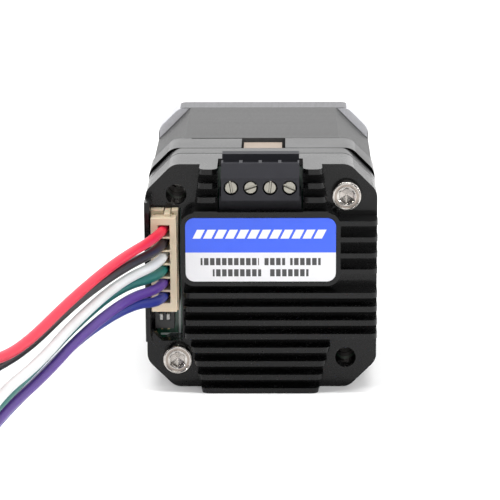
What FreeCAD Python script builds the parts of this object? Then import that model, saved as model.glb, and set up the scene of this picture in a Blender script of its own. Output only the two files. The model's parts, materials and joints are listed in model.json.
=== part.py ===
"""Integrated stepper motor: a 42 mm hybrid stepper with its driver in a finned cover on the rear.

Every piece is drawn in one working frame: the origin is on the shaft's axis where the cover's four
corner lobes end, +Y runs forwards along the shaft, +X is right seen from the rear, and +Z is up.
Each piece's Placement then moves it so that the part stands on its flat side, with the origin at
the centre of its footprint.
"""
import FreeCAD, Part
import Sketcher
import math
import os

doc = FreeCAD.newDocument("integrated_stepper")
sheet = doc.addObject("Spreadsheet::Sheet", "sizes")


# ---------------------------------------------------------------- sizes

class Size:
    """A length that carries its number and the sheet formula that gives it."""

    def __init__(self, number, formula):
        self.number = number
        self.formula = formula

    def __add__(self, other):
        other = as_size(other)
        return Size(self.number + other.number, f"({self.formula} + {other.formula})")

    def __sub__(self, other):
        other = as_size(other)
        return Size(self.number - other.number, f"({self.formula} - {other.formula})")

    def __mul__(self, factor):
        return Size(self.number * factor, f"({self.formula} * {factor:.6f})")

    def __truediv__(self, divisor):
        return Size(self.number / divisor, f"({self.formula} / {divisor:.6f})")

    def __neg__(self):
        return Size(-self.number, f"(-1 * {self.formula})")

    def __radd__(self, other):
        return self + other

    def __rsub__(self, other):
        return -self + other

    __rmul__ = __mul__


def as_size(value):
    return value if isinstance(value, Size) else Size(float(value), f"({float(value):.6f})")


def size(name, value):
    """A driving dimension: one cell of the sheet, with its name as the alias."""
    row = size.row = getattr(size, "row", 0) + 1
    sheet.set(f"A{row}", name)
    sheet.set(f"B{row}", str(value))
    sheet.setAlias(f"B{row}", name)
    return Size(float(value), f"sizes.{name}")


# Motor shell
frame_size = size("frame_size", 42.3)
bolt_spacing = size("bolt_spacing", 31.0)
cover_depth = size("cover_depth", 9.05)
ring_depth = size("ring_depth", 4.45)
rear_cap_depth = size("rear_cap_depth", 8.85)
stack_length = size("stack_length", 28.9)
front_cap_depth = size("front_cap_depth", 5.75)
pilot_depth = size("pilot_depth", 2.0)
pilot_radius = size("pilot_radius", 11.0)
cover_chamfer = size("cover_chamfer", 5.1)
cap_chamfer = size("cap_chamfer", 4.4)
stack_chamfer = size("stack_chamfer", 6.6)
corner_rounding = size("corner_rounding", 3.0)
# Shaft and bearings
shaft_radius = size("shaft_radius", 2.5)
shaft_reach = size("shaft_reach", 24.0)
flat_length = size("flat_length", 15.0)
flat_cut = size("flat_cut", 0.5)
rotor_seat_radius = size("rotor_seat_radius", 3.5)
bearing_radius = size("bearing_radius", 8.0)
bearing_width = size("bearing_width", 5.0)
rotor_radius = size("rotor_radius", 12.0)
air_gap = size("air_gap", 0.06)
magnet_width = size("magnet_width", 2.4)
# Stator
coil_overhang = size("coil_overhang", 3.3)
winding_radius = size("winding_radius", 18.0)
slot_depth_radius = size("slot_depth_radius", 18.0)
# Cover
fin_depth = size("fin_depth", 4.35)
fin_pitch = size("fin_pitch", 2.6)
fin_thick = size("fin_thick", 1.0)
fin_rounding = size("fin_rounding", 1.3)
rear_wall = size("rear_wall", 2.2)
side_wall = size("side_wall", 1.3)
pad_width = size("pad_width", 29.0)
pad_height = size("pad_height", 13.6)
label_thick = size("label_thick", 0.25)
label_rim = size("label_rim", 0.8)
# Board and what is on it
board_y = size("board_y", 5.0)
board_thick = size("board_thick", 1.6)
board_gap = size("board_gap", 0.25)
# Screws
screw_radius = size("screw_radius", 1.5)
screw_gap = size("screw_gap", 0.15)
screw_bite = size("screw_bite", 2.7)
thread_depth = size("thread_depth", 0.25)
head_radius = size("head_radius", 2.7)
head_height = size("head_height", 1.8)
access_radius = size("access_radius", 1.9)
# Signal connector
signal_pitch = size("signal_pitch", 2.5)
signal_rise = size("signal_rise", 3.6)
header_width = size("header_width", 5.0)
header_height = size("header_height", 7.0)
plug_proud = size("plug_proud", 2.8)
lead_radius = size("lead_radius", 0.9)
# Screw terminal
pole_pitch = size("pole_pitch", 3.5)
plug_top = size("plug_top", 22.6)
plug_foot = size("plug_foot", 16.0)
plug_reach = size("plug_reach", 6.9)
terminal_screw_radius = size("terminal_screw_radius", 1.0)
cage_travel = size("cage_travel", 1.2)
# Clearances
slip = size("slip", 0.1)
slot_gap = size("slot_gap", 0.25)
run = size("run", 0.05)

# Stations along the shaft, and other shared places
half = frame_size / 2
hole = bolt_spacing / 2
ring_y = cover_depth
cap_y = ring_y + ring_depth
stack_y = cap_y + rear_cap_depth
front_y = stack_y + stack_length
face_y = front_y + front_cap_depth
pilot_y = face_y + pilot_depth
shaft_end = face_y + shaft_reach
middle_y = (shaft_end - plug_reach) / 2
signal_x = half * -1 + 3.55
terminal_x = as_size(-0.1)
POLES = 4
SIGNALS = 6
CORNERS = ((1, 1), (-1, 1), (-1, -1), (1, -1))
SCREWED = ((1, 1), (-1, -1))
OPEN = ((-1, 1), (1, -1))
nodes = {}


# ---------------------------------------------------------------- tools

def bind(thing, prop, value):
    thing.setExpression(prop, as_size(value).formula)


def place(thing, x=0, y=0, z=0):
    """Moves a piece from the working frame to the part's own frame."""
    bind(thing, "Placement.Base.x", as_size(x))
    bind(thing, "Placement.Base.y", as_size(y) - middle_y)
    bind(thing, "Placement.Base.z", as_size(z) + half)


def body(label):
    made = doc.addObject("PartDesign::Body", label)
    made.Label = label
    made.AllowCompound = True
    place(made)
    nodes[label] = made
    return made


def origin(owner, role):
    return next(item for item in owner.Origin.OriginFeatures if item.Role == role)


def sketch(owner, role, offset=0):
    """A sketch on one of the body's origin planes, moved along that plane's normal."""
    made = owner.newObject("Sketcher::SketchObject", owner.Label + "_sketch")
    made.AttachmentSupport = [(origin(owner, role), "")]
    made.MapMode = "FlatFace"
    bind(made, "AttachmentOffset.Base.z", offset)
    return made


def rear_view(owner, y):
    """A sketch across the shaft at station y: its axes are X and Z."""
    return sketch(owner, "XZ_Plane", -as_size(y))


def hold(drawing, geometry, point, x, y):
    for kind, value in (("DistanceX", as_size(x)), ("DistanceY", as_size(y))):
        rule = Sketcher.Constraint(kind, -1, 1, geometry, point, value.number)
        index = drawing.addConstraint(rule)
        drawing.setExpression(f"Constraints[{index}]", value.formula)


def outline(drawing, points):
    """A closed outline of straight lines, each corner held by two dimensions."""
    corners = [FreeCAD.Vector(as_size(x).number, as_size(y).number, 0) for x, y in points]
    first = drawing.GeometryCount
    for k, start in enumerate(corners):
        drawing.addGeometry(Part.LineSegment(start, corners[(k + 1) % len(corners)]), False)
    for k, (x, y) in enumerate(points):
        before = first + (k - 1) % len(corners)
        drawing.addConstraint(Sketcher.Constraint("Coincident", before, 2, first + k, 1))
        hold(drawing, first + k, 1, x, y)


def rectangle(drawing, x0, x1, y0, y1):
    outline(drawing, [(x0, y0), (x1, y0), (x1, y1), (x0, y1)])


def circle(drawing, x, y, radius):
    centre = FreeCAD.Vector(as_size(x).number, as_size(y).number, 0)
    shape = Part.Circle(centre, FreeCAD.Vector(0, 0, 1), as_size(radius).number)
    index = drawing.addGeometry(shape, False)
    hold(drawing, index, 3, x, y)
    rule = drawing.addConstraint(Sketcher.Constraint("Radius", index, as_size(radius).number))
    drawing.setExpression(f"Constraints[{rule}]", as_size(radius).formula)


def octagon(drawing, reach, chamfer):
    """A square with its corners cut at 45 degrees."""
    inner = as_size(reach) - chamfer
    turns = ((1, 1), (-1, 1), (-1, -1), (1, -1))
    points = []
    for k, (sx, sz) in enumerate(turns):
        side = (reach * sx, inner * sz)
        end = (inner * sx, reach * sz)
        points += [side, end] if k % 2 == 0 else [end, side]
    outline(drawing, points)


def pad(owner, drawing, length, backwards=False):
    """Adds material from a sketch: towards +Y for a rear view unless backwards."""
    made = owner.newObject("PartDesign::Pad", owner.Label + "_pad")
    made.Profile = drawing
    bind(made, "Length", length)
    along = drawing.AttachmentSupport[0][0].Role != "XZ_Plane"
    made.Reversed = along == backwards
    return made


def pocket(owner, drawing, length, backwards=False):
    """Removes material from a sketch: towards +Y for a rear view, down for a top view."""
    made = owner.newObject("PartDesign::Pocket", owner.Label + "_pocket")
    made.Profile = drawing
    bind(made, "Length", length)
    made.Reversed = backwards
    return made


def add_box(owner, x0, x1, y0, y1, z0, z1):
    drawing = rear_view(owner, y0)
    rectangle(drawing, x0, x1, z0, z1)
    return pad(owner, drawing, as_size(y1) - y0)


def cut_box(owner, x0, x1, y0, y1, z0, z1):
    drawing = rear_view(owner, y0)
    rectangle(drawing, x0, x1, z0, z1)
    return pocket(owner, drawing, as_size(y1) - y0)


def cut_holes(owner, places, radius, y0, y1):
    drawing = rear_view(owner, y0)
    for x, z in places:
        circle(drawing, x, z, radius)
    return pocket(owner, drawing, as_size(y1) - y0)


def turned(owner, profile, x=0, z=0, groove=False):
    """A body of revolution about an axis along Y through (x, z); profile is (radius, y)."""
    drawing = sketch(owner, "XY_Plane", z)
    outline(drawing, [(as_size(x) + radius, y) for radius, y in profile])
    low = as_size(x).number
    axis = drawing.addGeometry(
        Part.LineSegment(FreeCAD.Vector(low, -20, 0), FreeCAD.Vector(low, -10, 0)), True)
    hold(drawing, axis, 1, x, -20)
    hold(drawing, axis, 2, x, -10)
    kind = "PartDesign::Groove" if groove else "PartDesign::Revolution"
    made = owner.newObject(kind, owner.Label + "_turn")
    made.Profile = drawing
    made.ReferenceAxis = (drawing, ["Axis0"])
    made.Angle = 360
    return made


def around(owner, features, count):
    """Repeats features about the shaft's axis."""
    made = owner.newObject("PartDesign::PolarPattern", owner.Label + "_around")
    made.Originals = list(features)
    made.Axis = (origin(owner, "Y_Axis"), [""])
    made.Angle = 360
    made.Occurrences = count
    owner.Tip = made
    return made


def along(owner, features, axis, pitch, count, backwards=False):
    """Repeats features in a row."""
    made = owner.newObject("PartDesign::LinearPattern", owner.Label + "_row")
    made.Originals = list(features)
    made.Direction = (origin(owner, axis), [""])
    bind(made, "Length", as_size(pitch) * (count - 1))
    made.Occurrences = count
    made.Reversed = backwards
    owner.Tip = made
    return made


def round_edges(owner, radius, wanted, kind="PartDesign::Fillet"):
    """Fillets or chamfers the edges of the newest feature that a test picks."""
    doc.recompute()
    base = owner.Tip
    edges = [f"Edge{k + 1}" for k, edge in enumerate(base.Shape.Edges) if wanted(edge)]
    made = owner.newObject(kind, owner.Label + "_edges")
    made.Base = (base, edges)
    bind(made, "Radius" if kind.endswith("Fillet") else "Size", radius)
    return made


def is_lengthwise(edge):
    """True for a straight edge along Y."""
    if edge.Curve.TypeId != "Part::GeomLine":
        return False
    start, end = (vertex.Point for vertex in edge.Vertexes)
    return abs(end.y - start.y) > 0.99 * edge.Length


def is_fin_end(edge):
    """True for the short edge where a fin's rear face ends, at a side or beside a lobe."""
    if len(edge.Vertexes) < 2:
        return False
    start, end = (vertex.Point for vertex in edge.Vertexes)
    on_rear = all(abs(point.y + fin_depth.number) < 1e-4 for point in (start, end))
    across = abs(end.z - start.z) > 0.5 * edge.Length
    return on_rear and across and 0.85 < edge.Length / fin_thick.number < 1.1


def solid_box(name, x0, x1, y0, y1, z0, z1):
    """A plain Part box in the working frame."""
    made = doc.addObject("Part::Box", name)
    bind(made, "Length", as_size(x1) - x0)
    bind(made, "Width", as_size(y1) - y0)
    bind(made, "Height", as_size(z1) - z0)
    place(made, x0, y0, z0)
    return made


def solid_rod(name, x, z, y0, y1, radius):
    """A plain Part cylinder along Y in the working frame."""
    made = doc.addObject("Part::Cylinder", name)
    bind(made, "Radius", radius)
    bind(made, "Height", as_size(y1) - y0)
    made.Placement.Rotation = FreeCAD.Rotation(FreeCAD.Vector(1, 0, 0), -90)
    place(made, x, y0, z)
    return made


def group(label, pieces):
    """Separate solids that share one node."""
    made = doc.addObject("Part::Compound", label)
    made.Label = label
    made.Links = pieces
    nodes[label] = made
    return made


def pole_x(k):
    return terminal_x + pole_pitch * (k - (POLES - 1) / 2)


def signal_z(k):
    return signal_rise + signal_pitch * ((SIGNALS - 1) / 2 - k)


# ---------------------------------------------------------------- shapes shared by several pieces

terminal_width = pole_pitch * POLES
socket_x0 = terminal_x - 0.55 - terminal_width / 2
socket_x1 = terminal_x + 0.45 + terminal_width / 2
slot_x0 = socket_x0 - slot_gap
slot_x1 = socket_x1 + slot_gap
slot_z0 = as_size(13.2)
header_x0 = signal_x - header_width / 2
header_x1 = signal_x + header_width / 2
header_z0 = signal_rise - signal_pitch * 2.5 - 3.2
header_z1 = signal_rise + signal_pitch * 2.5 + 3.2
header_y = board_y - header_height
pad_x = as_size(-0.1)
pad_z0 = as_size(-0.6)
pins_y = board_y + board_thick + 1.3


# ---------------------------------------------------------------- cover

def make_cover():
    cover = body("heatsink_cover")
    base = rear_view(cover, 0)
    octagon(base, half, cover_chamfer)
    pad(cover, base, cover_depth)
    round_edges(cover, corner_rounding, is_lengthwise)

    # Full and lower fins, then the short ones beside the label pad and the terminal
    fin = add_box(cover, pad_x - 14.1, half, -fin_depth, 0, -half, fin_thick - half)
    along(cover, [fin], "Z_Axis", fin_pitch, 8)
    short = add_box(cover, pad_x + 14, half, -fin_depth, 0, 1.6, fin_thick + 1.5)
    along(cover, [short], "Z_Axis", fin_pitch + 0.4, 4)
    upper = add_box(cover, -12.6, 12.6, -fin_depth, 0, half - fin_thick, half)
    along(cover, [upper], "Z_Axis", fin_pitch, 4, backwards=True)
    add_box(cover, -half, 1 - half, -fin_depth, 0, -11.3, 15)

    # The fins stop at the flat corner lobes
    lobes = rear_view(cover, -fin_depth)
    outline(lobes, [(12.7, 9.2 - half), (10.2, -half - 1), (half + 1, -half - 1), (half + 1, 9.2 - half)])
    outline(lobes, [(-13.1, 9.2 - half), (-10.7, -half - 1), (-19, -half - 1), (-19, 9.2 - half)])
    outline(lobes, [(12.2, half - 8.1), (10.9, half + 1), (half + 1, half + 1), (half + 1, half - 8.1)])
    outline(lobes, [(-12.2, half - 8.1), (-11.0, half + 1), (-14.5, half + 1), (-14.5, half - 8.1)])
    pocket(cover, lobes, fin_depth)

    # Raised pad with the label's recess
    raised = rear_view(cover, -fin_depth)
    rounded_rectangle(raised, pad_x, pad_z0 + pad_height / 2, pad_width, pad_height, 2.4)
    pad(cover, raised, fin_depth)
    recess = rear_view(cover, -fin_depth)
    rounded_rectangle(recess, pad_x, pad_z0 + pad_height / 2, pad_width - label_rim * 2,
                      pad_height - label_rim * 2, 1.7)
    pocket(cover, recess, label_thick)

    # Inside: one hollow, the bosses that the board sits on, and room for the terminal's header
    hollow = rear_view(cover, cover_depth)
    octagon(hollow, half - side_wall, cover_chamfer - side_wall * 0.586)
    pocket(cover, hollow, cover_depth - rear_wall, backwards=True)
    bosses = rear_view(cover, rear_wall)
    for sx, sz in CORNERS:
        circle(bosses, hole * sx, hole * sz, screw_radius + 2.1)
    pad(cover, bosses, board_y - rear_wall)
    cut_box(cover, slot_x0, slot_x1, -2.3, rear_wall, 4.7, slot_z0)

    # Openings to the rear: the terminal's slot and the signal connector's window
    cut_box(cover, slot_x0, slot_x1, -fin_depth, board_y - 0.4, slot_z0, half + 1)
    window = rear_view(cover, -fin_depth)
    left = header_x0 - 0.2
    right = pad_x - 14.5
    outline(window, [(left, header_z1 + slip), (left, -10.4), (left + 1.9, -12.3),
                     (right, -12.3), (right, header_z1 + slip)])
    pocket(cover, window, fin_depth + board_y)
    cut_box(cover, -half - 1, left + slip, -fin_depth, 1.4, -12.3, -11.2)

    cut_holes(cover, [(hole * sx, hole * sz) for sx, sz in OPEN], access_radius, -1, board_y)
    cut_holes(cover, [(hole * sx, hole * sz) for sx, sz in SCREWED],
              screw_radius + screw_gap, -1, board_y)
    round_edges(cover, fin_rounding, is_fin_end)


def rounded_rectangle(drawing, x, y, width, height, radius):
    """A rectangle about (x, y) with arcs for corners."""
    w = as_size(width) / 2
    h = as_size(height) / 2
    r = as_size(radius)
    corners = [(x + w - r, y + h - r, 0), (x - w + r, y + h - r, 90),
               (x - w + r, y - h + r, 180), (x + w - r, y - h + r, 270)]
    first = drawing.GeometryCount
    for cx, cy, start in corners:
        centre = FreeCAD.Vector(as_size(cx).number, as_size(cy).number, 0)
        shape = Part.Circle(centre, FreeCAD.Vector(0, 0, 1), r.number)
        turn = math.radians(start)
        drawing.addGeometry(Part.ArcOfCircle(shape, turn, turn + math.pi / 2), False)
    for k in range(4):
        after = (k + 1) % 4
        a = drawing.Geometry[first + k].EndPoint
        b = drawing.Geometry[first + after].StartPoint
        drawing.addGeometry(Part.LineSegment(a, b), False)
    for k, (cx, cy, start) in enumerate(corners):
        after = (k + 1) % 4
        line = first + 4 + k
        drawing.addConstraint(Sketcher.Constraint("Tangent", first + k, 2, line, 1))
        drawing.addConstraint(Sketcher.Constraint("Tangent", line, 2, first + after, 1))
        hold(drawing, first + k, 3, cx, cy)
    rule = drawing.addConstraint(Sketcher.Constraint("Radius", first, r.number))
    drawing.setExpression(f"Constraints[{rule}]", r.formula)


def make_nameplate():
    plate = body("nameplate")
    face = rear_view(plate, -fin_depth)
    rounded_rectangle(face, pad_x, pad_z0 + pad_height / 2, pad_width - label_rim * 2 - slip,
                      pad_height - label_rim * 2 - slip, 1.65)
    pad(plate, face, label_thick)


def make_adapter_ring():
    ring = body("adapter_ring")
    outer = rear_view(ring, ring_y)
    octagon(outer, half, cover_chamfer)
    pad(ring, outer, ring_depth)
    round_edges(ring, corner_rounding, is_lengthwise)
    inner = rear_view(ring, ring_y)
    octagon(inner, half - side_wall, half - side_wall - 6.3)
    pocket(ring, inner, ring_depth)
    posts = rear_view(ring, board_y + board_thick)
    for sx, sz in CORNERS:
        circle(posts, hole * sx, hole * sz, screw_radius + 1.2)
    pad(ring, posts, ring_y - board_y - board_thick)
    screw_holes(ring, board_y + board_thick, cap_y)


def screw_holes(owner, y0, y1):
    """Clearance holes for the long screws, and wider ones in line with the open lobes."""
    cut_holes(owner, [(hole * sx, hole * sz) for sx, sz in SCREWED],
              screw_radius + screw_gap, y0, y1)
    cut_holes(owner, [(hole * sx, hole * sz) for sx, sz in OPEN], access_radius, y0, y1)


# ---------------------------------------------------------------- motor

def make_rear_cap():
    cap = body("rear_end_cap")
    outer = rear_view(cap, cap_y)
    octagon(outer, half, cap_chamfer)
    pad(cap, outer, rear_cap_depth)
    round_edges(cap, corner_rounding, is_lengthwise)
    inner = rear_view(cap, stack_y)
    circle(inner, 0, 0, winding_radius)
    pocket(cap, inner, rear_cap_depth - 2.5, backwards=True)
    hub = rear_view(cap, cap_y + 1)
    circle(hub, 0, 0, bearing_radius + 1.8)
    pad(cap, hub, bearing_width + 0.5)
    seat = rear_view(cap, cap_y + 1.5 + bearing_width)
    circle(seat, 0, 0, bearing_radius)
    pocket(cap, seat, bearing_width, backwards=True)
    # The notch where the rear bobbin's tab comes out, and the slot for the winding pins
    cut_box(cap, -3.8, 4.4, cap_y, stack_y, 17.5, half + 1)
    cut_box(cap, -3.3, 3.9, cap_y, cap_y + 3, 16.4, 18)
    # A relief in the top edge beside the notch, where the cap is prised off the laminations
    cut_box(cap, -13.4, -3.7, stack_y - 0.6, stack_y, half - 0.9, half + 1)
    cut_holes(cap, [(hole * sx, hole * sz) for sx, sz in CORNERS],
              screw_radius + screw_gap, cap_y, stack_y)
    cut_holes(cap, [(hole * sx, hole * sz) for sx, sz in OPEN],
              head_radius + screw_gap, cap_y, cap_y + 0.3 + head_height)


def stator_slot(owner, y0, length, backwards=False, mouth=0.6):
    """One winding slot between two poles, on the half-pole line."""
    drawing = rear_view(owner, y0)
    half_angle = math.radians(22.5)
    inner = rotor_radius - 1
    points = [(inner, mouth), (rotor_radius + 1.0, mouth), (rotor_radius + 1.6, 2.93),
              (slot_depth_radius, 4.75)]
    points += [(u, -w) for u, w in reversed(points)]
    turned_points = []
    for u, w in points:
        x = u * math.cos(half_angle) - w * math.sin(half_angle)
        z = u * math.sin(half_angle) + w * math.cos(half_angle)
        turned_points.append((x, z))
    outline(drawing, turned_points)
    cut = pocket(owner, drawing, length, backwards)
    return cut


def make_stator():
    stack = body("stator_laminations")
    outer = rear_view(stack, stack_y)
    octagon(outer, half, stack_chamfer)
    pad(stack, outer, stack_length)
    bore = rear_view(stack, stack_y)
    circle(bore, 0, 0, rotor_radius + air_gap)
    pocket(stack, bore, stack_length)
    cut_holes(stack, [(hole * sx, hole * sz) for sx, sz in CORNERS],
              screw_radius + screw_gap, stack_y, front_y)
    cut = stator_slot(stack, stack_y, stack_length)
    around(stack, [cut], 8)
    # Five grooves split each pole's face into six teeth on the rotor's pitch
    grooves = rear_view(stack, stack_y)
    for k in range(-2, 3):
        angle = math.radians(7.2 * k)
        points = []
        for u, w in ((-0.5, -0.37), (0.45, -0.37), (0.45, 0.37), (-0.5, 0.37)):
            reach = rotor_radius + u
            x = reach * math.cos(angle) - w * math.sin(angle)
            z = reach * math.sin(angle) + w * math.cos(angle)
            points.append((x, z))
        outline(grooves, points)
    around(stack, [pocket(stack, grooves, stack_length)], 8)


def make_bobbin(label, root_y, outwards):
    """An end insulator: a plate on the laminations, an outer wall and an inner lip."""
    bobbin = body(label)
    plate = rear_view(bobbin, root_y)
    circle(plate, 0, 0, winding_radius - 0.3)
    circle(plate, 0, 0, rotor_radius + 0.7)
    rearwards = outwards < 0
    pad(bobbin, plate, 0.8, backwards=rearwards)
    wall = rear_view(bobbin, root_y)
    circle(wall, 0, 0, winding_radius - 0.3)
    circle(wall, 0, 0, winding_radius - 1.1)
    pad(bobbin, wall, coil_overhang, backwards=rearwards)
    lip = rear_view(bobbin, root_y)
    circle(lip, 0, 0, rotor_radius + 1.5)
    circle(lip, 0, 0, rotor_radius + 0.7)
    pad(bobbin, lip, coil_overhang - 0.6, backwards=rearwards)
    cut = stator_slot(bobbin, root_y, 0.8, backwards=rearwards, mouth=0.8)
    around(bobbin, [cut], 8)
    return bobbin


def make_rear_bobbin():
    bobbin = make_bobbin("rear_bobbin", stack_y, -1)
    # The terminal tab that shows in the end cap's notch
    add_box(bobbin, -3.4, 3.8, stack_y - 5.4, stack_y - 1.2, 16.3, 20.55)
    add_box(bobbin, -3.4, 3.8, cap_y + 0.4, stack_y - 5.4, 18.1, 20.55)
    pins = rear_view(bobbin, stack_y - 5.4)
    for k in range(4):
        x = phase_x(k)
        rectangle(pins, x - 0.35, x + 0.35, 16.9, 17.6)
    pocket(bobbin, pins, 3)


def phase_x(k):
    return as_size(0.2 + 1.8 * (k - 1.5))


def make_windings():
    coil = body("windings")
    drawing = sketch(coil, "XY_Plane", rotor_radius + 2.1)
    neck = 2.5
    rectangle(drawing, -neck - 2.0, neck + 2.0, stack_y - coil_overhang, front_y + coil_overhang)
    rectangle(drawing, -neck - 0.15, neck + 0.15, stack_y - 0.85, front_y + 0.85)
    wound = pad(coil, drawing, 1.9)
    around(coil, [wound], 8)


def make_front_cap():
    cap = body("front_end_cap")
    outer = rear_view(cap, front_y)
    octagon(outer, half, cap_chamfer - 0.2)
    pad(cap, outer, front_cap_depth)
    round_edges(cap, corner_rounding, is_lengthwise)
    pilot = rear_view(cap, face_y)
    circle(pilot, 0, 0, pilot_radius)
    pad(cap, pilot, pilot_depth)
    # Room for the end turns, around the hub that holds the bearing
    inner = rear_view(cap, front_y)
    circle(inner, 0, 0, winding_radius)
    circle(inner, 0, 0, bearing_radius + 1.8)
    pocket(cap, inner, coil_overhang + 0.5)
    seat = rear_view(cap, front_y)
    circle(seat, 0, 0, bearing_radius)
    pocket(cap, seat, bearing_width + 0.3)
    eye = rear_view(cap, front_y)
    circle(eye, 0, 0, shaft_radius + 1.5)
    pocket(cap, eye, front_cap_depth + pilot_depth)
    # Tapped holes: the long screws fill the rear of each, a bracket's screws take the front
    cut_holes(cap, [(hole * sx, hole * sz) for sx, sz in CORNERS],
              screw_radius - thread_depth, front_y, face_y)
    cut_holes(cap, [(hole * sx, hole * sz) for sx, sz in CORNERS],
              screw_radius, front_y, front_y + screw_bite)


def make_shaft():
    shaft = body("shaft")
    rear = cap_y + 2
    seat0 = cap_y + 1.5 + bearing_width + 0.2
    seat1 = front_y - 0.2
    bevel = 0.3
    relief = 0.2
    # A grinding relief just inside the pilot's face parts the output end from the journal, and
    # the round land behind the flat stays a face of its own
    core = turned(shaft, [
        (0, rear), (shaft_radius - bevel, rear), (shaft_radius, rear + bevel),
        (shaft_radius, seat0), (rotor_seat_radius, seat0), (rotor_seat_radius, seat1),
        (shaft_radius, seat1), (shaft_radius, pilot_y - 0.8),
        (shaft_radius - relief, pilot_y - 0.8), (shaft_radius - relief, pilot_y),
        (shaft_radius, pilot_y), (shaft_radius, shaft_end - flat_length),
        (shaft_radius, shaft_end - bevel), (shaft_radius - bevel, shaft_end), (0, shaft_end)])
    core.Refine = False
    flat = cut_box(shaft, -shaft_radius - 1, shaft_radius + 1, shaft_end - flat_length, shaft_end,
                   shaft_radius - flat_cut, shaft_radius + 1)
    flat.Refine = False


def make_rotor():
    middle = stack_y + stack_length / 2
    spans = {"rotor_cup_rear": (stack_y + 1, middle - magnet_width / 2),
             "rotor_cup_front": (middle + magnet_width / 2, front_y - 1)}
    for label, (y0, y1) in spans.items():
        cup = body(label)
        disc = rear_view(cup, y0)
        circle(disc, 0, 0, rotor_radius)
        circle(disc, 0, 0, rotor_seat_radius)
        pad(cup, disc, y1 - y0)
        gap = rear_view(cup, y0)
        # The front cup's teeth sit half a tooth round from the rear cup's
        turn = math.radians(1.8 if label == "rotor_cup_rear" else 5.4)
        points = []
        for u, w in ((-0.5, -0.3), (0.5, -0.45), (0.5, 0.45), (-0.5, 0.3)):
            reach = rotor_radius + u
            x = reach * math.cos(turn) - w * math.sin(turn)
            z = reach * math.sin(turn) + w * math.cos(turn)
            points.append((x, z))
        outline(gap, points)
        around(cup, [pocket(cup, gap, y1 - y0)], 50)
    magnet = body("rotor_magnet")
    disc = rear_view(magnet, middle - magnet_width / 2)
    circle(disc, 0, 0, rotor_radius - 1)
    circle(disc, 0, 0, rotor_seat_radius)
    pad(magnet, disc, magnet_width)


def make_bearing(side, y0):
    """A deep-groove ball bearing: two races and seven balls."""
    ball = 1.5
    pitch = (bearing_radius + shaft_radius) / 2
    y1 = y0 + bearing_width
    for label, inner, outer in ((f"{side}_bearing_inner", shaft_radius, pitch - 0.8),
                                (f"{side}_bearing_outer", pitch + 0.8, bearing_radius)):
        race = body(label)
        turned(race, [(inner, y0), (outer, y0), (outer, y1), (inner, y1)])
        path = sketch(race, "XY_Plane")
        circle(path, pitch, y0 + bearing_width / 2, ball + run)
        # The ball track is a ring cut by the same circle that the balls sweep
        track = race.newObject("PartDesign::Groove", label + "_track")
        track.Profile = path
        track.ReferenceAxis = (path, ["V_Axis"])
        track.Angle = 360
    balls = body(f"{side}_bearing_balls")
    drawing = sketch(balls, "XY_Plane")
    cx = pitch.number
    cy = (y0 + bearing_width / 2).number
    drawing.addGeometry(Part.ArcOfCircle(
        Part.Circle(FreeCAD.Vector(cx, cy, 0), FreeCAD.Vector(0, 0, 1), ball),
        -math.pi / 2, math.pi / 2), False)
    drawing.addGeometry(Part.LineSegment(FreeCAD.Vector(cx, cy + ball, 0),
                                         FreeCAD.Vector(cx, cy - ball, 0)), False)
    drawing.addConstraint(Sketcher.Constraint("Coincident", 0, 2, 1, 1))
    drawing.addConstraint(Sketcher.Constraint("Coincident", 1, 2, 0, 1))
    drawing.addConstraint(Sketcher.Constraint("Vertical", 1))
    drawing.addConstraint(Sketcher.Constraint("PointOnObject", 0, 3, 1))
    hold(drawing, 0, 3, pitch, y0 + bearing_width / 2)
    drawing.addConstraint(Sketcher.Constraint("Radius", 0, ball))
    round_ball = balls.newObject("PartDesign::Revolution", "ball")
    round_ball.Profile = drawing
    round_ball.ReferenceAxis = (drawing, ["Edge2"])
    round_ball.Angle = 360
    around(balls, [round_ball], 7)


def make_washer():
    washer = body("wave_washer")
    y0 = front_y + bearing_width
    turned(washer, [(bearing_radius - 2.2, y0), (bearing_radius - 0.3, y0),
                    (bearing_radius - 0.3, y0 + 0.3), (bearing_radius - 2.2, y0 + 0.3)])


def make_screws(label, first, head_y):
    """Two long socket-head screws, diagonally opposite, that run into the front end cap."""
    screw = body(label)
    sx, sz = first
    tip = front_y + screw_bite
    bevel = 0.25
    under = head_y + head_height
    turn = turned(screw, [(0, head_y), (head_radius - bevel, head_y), (head_radius, head_y + bevel),
                          (head_radius, under), (screw_radius, under), (screw_radius, tip),
                          (0, tip)], hole * sx, hole * sz)
    socket = rear_view(screw, head_y)
    reach = 1.25 / math.cos(math.radians(30))
    outline(socket, [(hole * sx + reach * math.cos(math.radians(60 * k)),
                      hole * sz + reach * math.sin(math.radians(60 * k))) for k in range(6)])
    recess = pocket(screw, socket, 1.2)
    around(screw, [turn, recess], 2)


# ---------------------------------------------------------------- board

def make_board():
    board = body("driver_pcb")
    outer = rear_view(board, board_y)
    octagon(outer, half - side_wall - board_gap, cover_chamfer - 0.8)
    pad(board, outer, board_thick)
    screw_holes(board, board_y, board_y + board_thick)
    vias = [(signal_x, signal_z(k)) for k in range(SIGNALS)]
    vias += [(pole_x(k), 5.4) for k in range(POLES)]
    vias += [(phase_x(k), 17.25) for k in range(4)]
    cut_holes(board, vias, 0.62, board_y, board_y + board_thick)


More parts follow.
